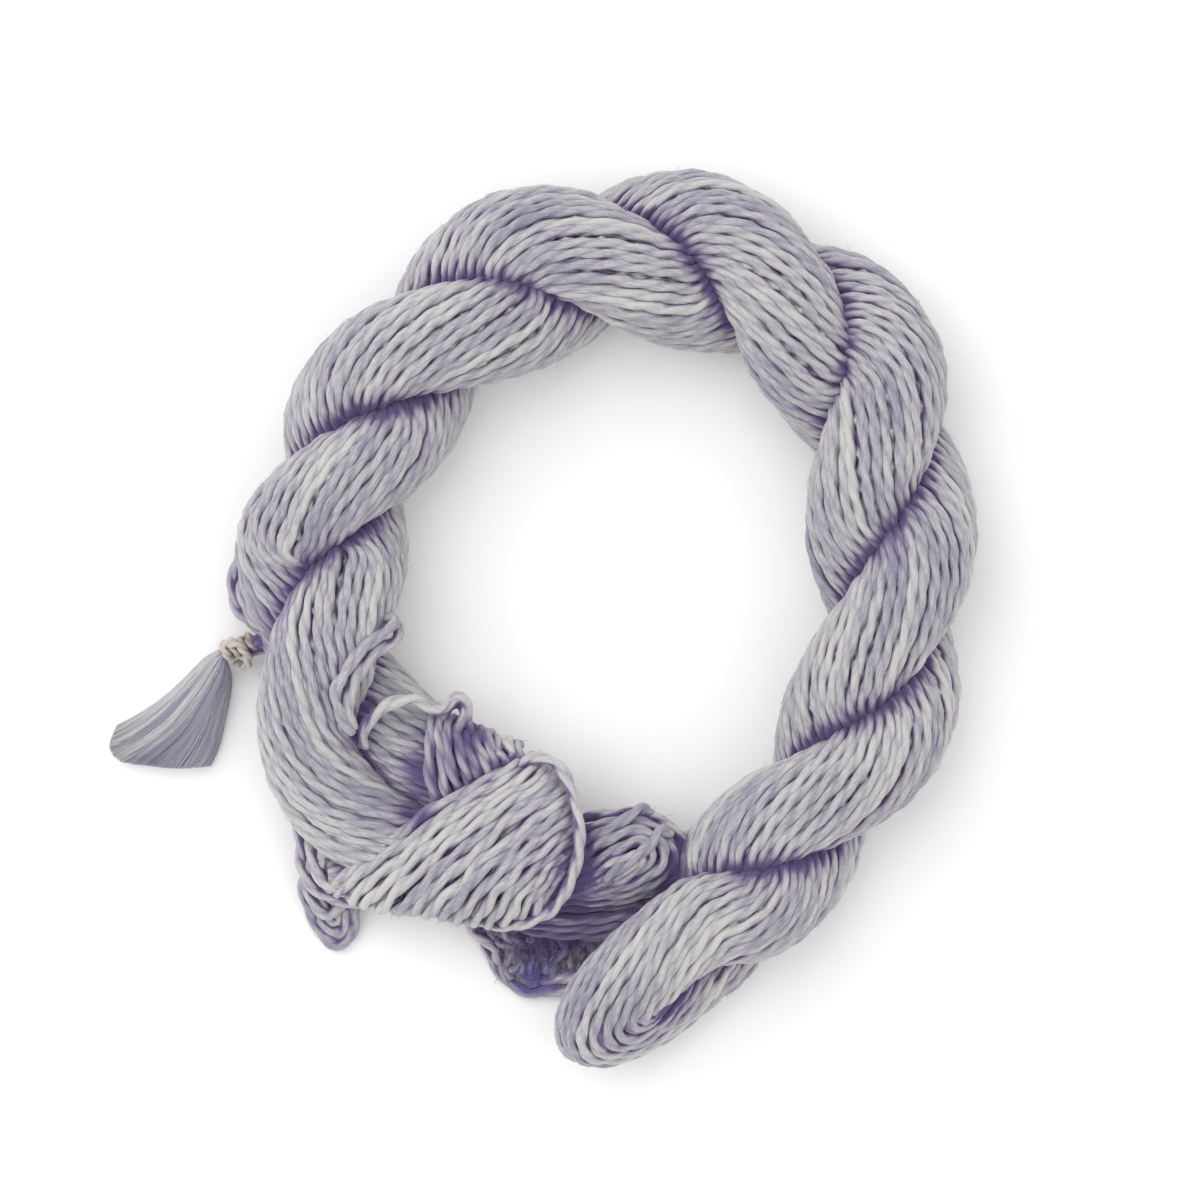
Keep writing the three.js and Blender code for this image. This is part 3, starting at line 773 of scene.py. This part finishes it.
# Single turns that have come loose from the knot, from its lower edge and from the rope over the
# tie. x, y, z along each, from where it comes out to where it goes back in.
loose_turns = {
    "turn_over_fan": [
        (-5.2, -27.5, 15.2), (-3.4, -24.6, 17.4), (-0.9, -23.4, 18.6), (2.4, -24.6, 19.4),
        (4.8, -28.6, 19.8), (6.2, -34.6, 19.6), (5.8, -40.8, 18.6), (3.6, -46.6, 17.0),
        (0.6, -50.0, 14.6), (-5.6, -52.2, 11.6), (-10.6, -51.6, 9.0),
    ],
    "turn_at_inside_a": [
        (-33.6, 3.8, 16.4), (-28.6, 1.2, 17.8), (-25.0, -0.2, 19.2), (-26.6, -2.0, 20.4),
        (-30.6, -5.2, 21.6), (-33.6, -9.6, 22.0), (-35.0, -12.4, 21.4), (-34.0, -16.2, 19.6),
        (-32.4, -19.2, 17.6),
    ],
    "turn_at_inside_b": [
        (-27.6, 0.6, 15.0), (-24.6, -1.4, 16.6), (-25.0, -3.6, 18.0), (-28.2, -5.6, 20.0),
        (-31.2, -9.4, 20.8), (-32.8, -14.2, 19.8), (-32.2, -18.6, 17.6),
    ],
    "turn_along_knot": [
        (-30.4, -21.6, 14.6), (-30.2, -18.6, 16.9), (-28.2, -16.2, 18.4), (-25.6, -14.2, 18.8),
        (-21.6, -13.6, 18.4), (-18.8, -15.2, 17.4), (-17.0, -15.4, 17.0), (-14.8, -13.2, 17.0),
        (-13.4, -13.6, 16.8), (-12.9, -15.8, 16.6), (-15.0, -19.6, 15.6), (-16.4, -22.6, 13.6),
    ],
    "turn_under_hook": [
        (-17.6, -17.2, 14.6), (-15.4, -14.6, 15.6), (-13.6, -14.6, 15.4), (-12.8, -17.2, 15.2),
        (-12.4, -20.2, 14.4),
    ],
    "turn_drooping": [
        (-38.6, -42.3, 7.0), (-41.0, -45.1, 5.4), (-40.1, -49.8, 2.4), (-37.9, -54.2, 1.1),
        (-35.4, -55.9, 1.1), (-33.3, -54.6, 1.2), (-32.5, -51.9, 1.9), (-32.1, -47.5, 4.3),
    ],
    "turn_drooping_inside_a": [
        (-38.0, -43.0, 6.4), (-39.4, -46.0, 4.6), (-38.8, -50.0, 2.2), (-37.0, -53.2, 1.2),
        (-35.4, -54.0, 1.2), (-34.2, -52.8, 1.3), (-33.6, -49.5, 2.6), (-33.4, -45.5, 4.6),
    ],
    "turn_drooping_inside_b": [
        (-37.0, -43.5, 5.8), (-37.8, -46.5, 4.0), (-37.2, -50.0, 2.0), (-36.0, -52.0, 1.2),
        (-35.0, -51.0, 1.4), (-34.8, -48.0, 2.8), (-34.8, -44.5, 4.8),
    ],
    "turn_drooping_over": [
        (-39.4, -41.0, 7.6), (-40.4, -44.8, 5.8), (-39.4, -48.6, 4.0), (-37.4, -50.6, 3.4),
        (-35.2, -49.6, 3.8), (-33.6, -46.4, 5.2),
    ],
    "turn_at_corner_a": [
        (-41.8, -34.4, 8.6), (-41.4, -38.4, 8.0), (-41.2, -42.2, 7.4), (-39.6, -45.6, 7.0),
        (-36.4, -47.6, 6.6), (-31.0, -48.8, 6.0),
    ],
    "turn_at_corner_b": [
        (-40.0, -35.4, 9.4), (-39.6, -39.0, 8.8), (-39.0, -42.4, 8.4), (-37.0, -45.2, 8.2),
        (-33.0, -46.8, 7.4),
    ],
    "turn_at_bottom_a": [
        (-11.1, -49.3, 6.0), (-10.6, -53.2, 2.9), (-9.2, -57.6, 1.2), (-7.0, -61.3, 1.1),
        (-3.2, -63.9, 1.1), (0.9, -63.8, 1.2), (4.2, -63.4, 3.2), (8.0, -63.4, 7.0),
    ],
    "turn_at_bottom_b": [
        (-7.4, -49.8, 6.0), (-7.6, -53.4, 2.8), (-6.4, -57.6, 1.1), (-3.4, -61.0, 1.1),
        (1.4, -61.8, 1.4), (5.2, -61.2, 4.4), (8.6, -61.0, 8.0),
    ],
    "turn_above_tie_a": [
        (-46.6, 17.4, 9.8), (-50.2, 13.0, 9.4), (-52.6, 8.4, 8.7), (-53.0, 4.6, 7.9),
        (-51.8, 1.2, 7.6), (-48.9, -1.2, 8.2), (-45.4, -3.0, 9.0),
    ],
    "turn_above_tie_b": [
        (-46.6, 14.4, 9.8), (-49.4, 10.6, 9.0), (-51.2, 6.6, 8.6), (-51.2, 3.4, 8.4),
        (-49.6, 0.2, 8.6), (-46.8, -1.8, 9.0), (-44.0, -3.4, 9.4),
    ],
    "turn_above_tie_c": [
        (-46.0, 15.4, 6.0), (-49.6, 11.0, 6.0), (-51.8, 6.4, 6.2), (-51.8, 2.8, 6.2),
        (-49.4, -0.8, 6.6), (-45.6, -3.0, 7.0),
    ],
}
for name, rows in loose_turns.items():
    yarn_piece(name, resampled([rows], 0.8), single=0.80, spread=0.32)


# The tie: an undyed two-ply thread wound in two lumps round the neck of the tuft and crossed over
# itself, and beside it the turns of the skein that are caught in it.
wrap_from, wrap_to = np.array([-48.9, -3.7, 6.2]), np.array([-54.9, -5.6, 4.5])
wrap_ahead = (wrap_to - wrap_from) / np.linalg.norm(wrap_to - wrap_from)
wrap_left = np.cross([0.0, 0.0, 1.0], wrap_ahead)
wrap_left /= np.linalg.norm(wrap_left)
wrap_up = np.cross(wrap_ahead, wrap_left)
wrap_turn = np.linspace(-0.6 * np.pi, 7.6 * np.pi, 42)[:, None]
wrap_share = (wrap_turn - wrap_turn[0]) / (wrap_turn[-1] - wrap_turn[0])
wraps = wrap_from + (wrap_to - wrap_from) * wrap_share
wrap_radius = 1.2 - 0.35 * np.exp(-(((wrap_share - 0.33) / 0.1) ** 2))
wraps += wrap_radius * (np.cos(wrap_turn) * wrap_left + np.sin(wrap_turn) * wrap_up)
tie_path = np.vstack([
    [(-47.6, -4.4, 6.8), (-48.0, -3.6, 6.9)],
    wraps,
    [(-54.0, -4.4, 6.6), (-52.4, -4.3, 7.6), (-50.8, -5.6, 7.4), (-50.4, -7.3, 5.8)],
    [(-51.2, -8.0, 4.2), (-52.6, -7.4, 3.0)],
])
thread = {"node": "tie", "slot": "tie_thread", "material": undyed_thread}
yarn_piece("tie_wraps", resampled([tie_path], 0.45), pitch=4.6, single=0.52, spread=0.34, **thread)
caught = [
    [(-44.8, -4.6, 6.0), (-47.6, -5.0, 5.8), (-49.6, -5.3, 5.4), (-51.8, -5.3, 4.9)],
    [(-44.2, -1.8, 7.4), (-46.6, -2.5, 7.4), (-48.8, -3.6, 6.8), (-50.8, -4.6, 5.8)],
    [(-44.0, -3.4, 7.6), (-46.4, -3.6, 7.7), (-48.4, -4.2, 7.1), (-50.6, -5.0, 5.6)],
]
yarn_piece("turns_in_tie", resampled(caught, 0.6))


# The tuft: combed fibre of the same dye, spread on the floor in soft locks from its tied neck. A
# solid body with fine fibres laid over it; x, y along its left edge, its right edge and its ends.
tuft_left = np.array([(-55.2, -5.1), (-58.2, -6.6), (-61.4, -10.4), (-65.2, -14.0), (-73.4, -18.4)])
tuft_right = np.array([(-54.2, -7.3), (-53.3, -10.4), (-54.0, -14.8), (-55.0, -20.6), (-57.3, -25.2)])
tuft_ends = np.array([
    (-73.4, -18.4), (-74.0, -21.5), (-72.2, -24.0), (-67.8, -24.9), (-62.5, -25.5), (-57.3, -25.3),
])
# how thick it is and how deep the grooves between its locks are, from the neck to the ends
tuft_heights = np.array([(4.2, 0.2), (4.6, 0.45), (4.2, 0.7), (3.6, 0.8), (2.8, 0.8)])
grooves = np.array([0.0, 0.15, 0.31, 0.44, 0.60, 0.80, 1.0])


def tuft_place(side, length):
    """Side 0 to 1 is from the left edge to the right, length 0 to 1 from the neck to the ends. The
    place is mixed from the two edges, and towards the line of the cut ends by length cubed."""
    left, right = along_rows(tuft_left, 4 * length), along_rows(tuft_right, 4 * length)
    ends = along_rows(tuft_ends, 5 * side)
    place = left + (right - left) * side[:, None]
    return place + (ends - place) * (length**3)[:, None]


def tuft_top(side, length):
    """Height over the floor: half an ellipse across, with a rounded lock between two grooves."""
    tall, deep = along_rows(tuft_heights, 4 * length).T
    lock = np.clip(np.searchsorted(grooves, side, side="right") - 1, 0, 5)
    share = (side - grooves[lock]) / (grooves[lock + 1] - grooves[lock])
    round_lock = np.sqrt(np.clip(4 * share * (1 - share), 0, 1))
    dome = np.clip(1 - (2 * side - 1) ** 4, 0, 1) ** 0.5
    neck = 2.6 * np.clip(1 - length / 0.22, 0, 1) ** 2
    return np.maximum((tall - deep * (1 - round_lock)) * dome, 0.15) + neck * (1 - dome) * 0.8


rows, columns = 48, 97
length, side = np.meshgrid(np.linspace(0, 1, rows), np.linspace(0, 1, columns), indexing="ij")
place = tuft_place(side.ravel(), length.ravel()).reshape(rows, columns, 2)
top = tuft_top(side.ravel(), length.ravel()).reshape(rows, columns)
floor_under = 0.05 + 2.9 * np.clip(1 - length / 0.3, 0, 1) ** 1.5
upper = np.concatenate([place, np.maximum(top, floor_under + 0.1)[..., None]], axis=2)
lower = np.concatenate([place, floor_under[..., None]], axis=2)[:, 88:4:-8]
tuft_rings = np.concatenate([upper[:, ::-1], lower[:, ::-1]], axis=1)[None] + centring
tuft_reach = np.linspace(0, 24, rows)[None]
tubes("tuft", tuft_rings, tuft_reach, combed_fibre, np.zeros(1), "tassel")

count = 1300
steps = np.linspace(0, 1, 12)
side = chance.uniform(0.01, 0.99, (count, 1)) + chance.normal(0, 0.03, (count, 1)) * steps
side = side + 0.022 * np.sin(7 * steps + 9 * side)
length = steps * chance.uniform(0.9, 1.05, (count, 1))
side, length = np.clip(side, 0.0, 1.0), np.clip(length, 0, 1.05)
place = tuft_place(side.ravel(), length.ravel()).reshape(count, 12, 2)
top = tuft_top(side.ravel(), length.ravel()).reshape(count, 12)
lift = chance.uniform(-0.05, 0.4, (count, 1)) + chance.normal(0, 0.35, (count, 1)) * length**2
fibres = np.concatenate([place, np.maximum(top + lift, 0.14)[..., None]], axis=2) + centring
rings, reach = two_ply(fibres, 400.0, 0.11, 0.0, 3, np.zeros(count))
# paler and darker locks side by side: where across the tuft, and how dark
lock_sides = [0, 0.12, 0.24, 0.36, 0.5, 0.64, 0.82, 1]
lock_darkness = [-1.5, -2.5, 0, -3, 0.5, 3.5, 1.5, 0.5]
lock_tone = np.interp(side[:, 6], lock_sides, lock_darkness)
tone = lock_tone + chance.uniform(-2.5, 2.5, count)
tubes("tuft_fibres", rings, reach, combed_fibre, tone, "tassel")


# Painted shade: how crowded the yarn is round each point. The colour is painted darker and purple
# where it is crowded, for the shade there and for light that has passed through dyed fibre.
def crowding(points, cell, spread, low, shape):
    """Counts points in cells, blurs the counts by spread along each axis and scales them by the
    middle of the densest part, so that 1 is deep inside and about a half is on a flat surface."""
    index = ((points - low) / cell).astype(int)
    grid = np.zeros(shape)
    np.add.at(grid, tuple(np.clip(index, 0, np.array(shape) - 1).T), 1.0)
    taps = np.arange(-int(3 * spread / cell), int(3 * spread / cell) + 1)
    weights = np.exp(-0.5 * (taps * cell / spread) ** 2)
    weights /= weights.sum()
    for axis in range(3):
        grid = sum(w * np.roll(grid, t, axis=axis) for w, t in zip(weights, taps))
    return grid / np.percentile(grid[grid > grid.max() * 0.3], 80)


# painted shade and pooled dye, where turns lie low and in shadow: x, y, z, reach, strength
shade_and_dye_pools = [
    (-14.0, -23.0, 15.5, 7.5, 0.45),
    (-21.2, -25.5, 14.5, 3.2, 0.6),
    (-21.6, -31.9, 14.8, 3.6, 0.8),
    (-33.0, -18.6, 14.0, 3.2, 0.9),
    (-29.5, -14.0, 13.5, 2.5, 0.4),
    (-12.8, -20.2, 14.6, 3.2, 0.6),
    (-36.6, -41.0, 6.0, 4.5, 0.5),
    (8.0, -51.0, 5.0, 7.0, 0.65),
    (3.0, -40.0, 16.0, 5.0, 0.25),
    (-1.0, -55.5, 3.0, 7.0, 0.55),
    (-8.0, -39.0, 20.0, 13.0, 0.16),
]
rope_axis = along_rows(rope, np.linspace(0, 8.45, 120))[:, :2]
rope_axis = np.column_stack([rope_axis, np.full(len(rope_axis), rope_height)]) + centring


def distance_to(axis, points):
    """Distance from each of many points to the nearest point of a curve, from the square of the
    point's length, less twice its dot product with the curve's point, plus the square of that."""
    axis = axis.astype(np.float32)
    square = (axis**2).sum(1)
    nearest = []
    for block in np.array_split(points.astype(np.float32), max(1, len(points) // 20000)):
        squares = (block**2).sum(1)[:, None] - 2 * block @ axis.T + square
        nearest.append(np.sqrt(np.maximum(squares.min(1), 0)))
    return np.concatenate(nearest)


crowd_low = np.array([-90.0, -92.0, -14.0])
cell_width, cells = 0.8, (226, 230, 66)
points = np.vstack(crowd)
wide_crowd = crowding(points, cell_width, 2.8, crowd_low, cells)
near_crowd = crowding(points, cell_width, 0.95, crowd_low, cells)
outward = -np.stack(np.gradient(crowding(points, cell_width, 1.8, crowd_low, cells)), axis=-1)


def cell_of(place):
    """The cell that each point lies in, or the nearest one: its way from the grid's corner over the
    width of a cell, without the fraction."""
    index = ((place - crowd_low) / cell_width).astype(int)
    return tuple(np.clip(index, 0, np.array(cells) - 1).T)


# Loose fibre ends that stand off the yarn all over: short, very fine, slightly curved. They are tried
# at random places, and kept where no other yarn is close.
tangents = np.vstack(crowd_tangents)
tries, kept = 30000, 7500
pick = chance.integers(0, len(points), tries)
out = chance.normal(0, 1, (tries, 3))
out -= tangents[pick] * (out * tangents[pick]).sum(1, keepdims=True)
out /= np.linalg.norm(out, axis=1, keepdims=True)
bare = (near_crowd[cell_of(points[pick] + 1.9 * out)] < 0.22) & (points[pick, 0] > -47)
pick, out = pick[bare][:kept], out[bare][:kept]
count = len(pick)
share = np.linspace(0, 1, 4)[None, :, None]
rise = chance.exponential(0.3, (count, 1, 1)) + 0.1
run = chance.uniform(0.6, 2.2, (count, 1, 1)) * chance.choice([-1, 1], (count, 1, 1))
sway = np.cross(out, tangents[pick])[:, None] * chance.normal(0, 0.7, (count, 1, 1))
hairs = points[pick][:, None] + out[:, None] * (0.8 + rise * share**1.3)
hairs = hairs + tangents[pick][:, None] * run * share + sway * share**2
hairs[..., 2] = np.maximum(hairs[..., 2], 0.05)
rings, reach = two_ply(hairs, 400.0, 0.032, 0.0, 3, np.zeros(count))
tone = chance.uniform(-1, 1, count)
tubes("loose_fibres", rings, reach, lavender_wool, tone, "skein")

# The painted shade and dye of every piece: painted shade, purple where the yarn is crowded, down the
# crease of the rope and on the sides of its turns; painted shade and dye in the pools; violet on the
# clump.
for made, vertices in pieces:
    cell = cell_of(vertices)
    painted_shade_and_dye = 1.7 * (wide_crowd[cell] - 0.64) + 0.6 * (near_crowd[cell] - 0.5)
    off_axis = distance_to(rope_axis, vertices)
    # painted shade down the crease of the rope, strongest near its centre line
    painted_shade_and_dye = np.maximum(painted_shade_and_dye, 0) + 0.85 * np.clip((11.0 - off_axis) / 6.0, 0, 1) ** 1.3
    # painted shade: the sides of a turn face its neighbours and are painted darker than its top, as
    # they lie in shade
    faces = np.empty(3 * len(vertices), np.float32)
    made.data.vertex_normals.foreach_get("vector", faces)
    out = outward[cell] / np.maximum(np.linalg.norm(outward[cell], axis=1, keepdims=True), 1e-6)
    between = np.clip(0.85 - (faces.reshape(-1, 3) * out).sum(1), 0, 1)
    if made.name not in ("fluff", "loose_fibres", "tuft", "tuft_fibres"):
        painted_shade_and_dye += 0.85 * between**1.3
    # painted shade and dye in the pools
    for x, y, z, reach, strength in shade_and_dye_pools:
        away = ((vertices - centring - (x, y, z)) ** 2).sum(1)
        painted_shade_and_dye += strength * np.exp(-away / reach**2)
    violet = 0.85 * np.exp(-((vertices - centring - (-1.8, -61.4, 2.4)) ** 2).sum(1) / 5.0**2)
    store = made.data.attributes.new("violet", "FLOAT", "POINT")
    store.data.foreach_set("value", violet)
    # painted shade: the cores are painted one steady shade of purple
    if made.name.startswith("core"):
        painted_shade_and_dye = np.full(len(vertices), 0.6)
    store = made.data.attributes.new("painted_shade_and_dye", "FLOAT", "POINT")
    store.data.foreach_set("value", np.clip(painted_shade_and_dye, 0, 1))
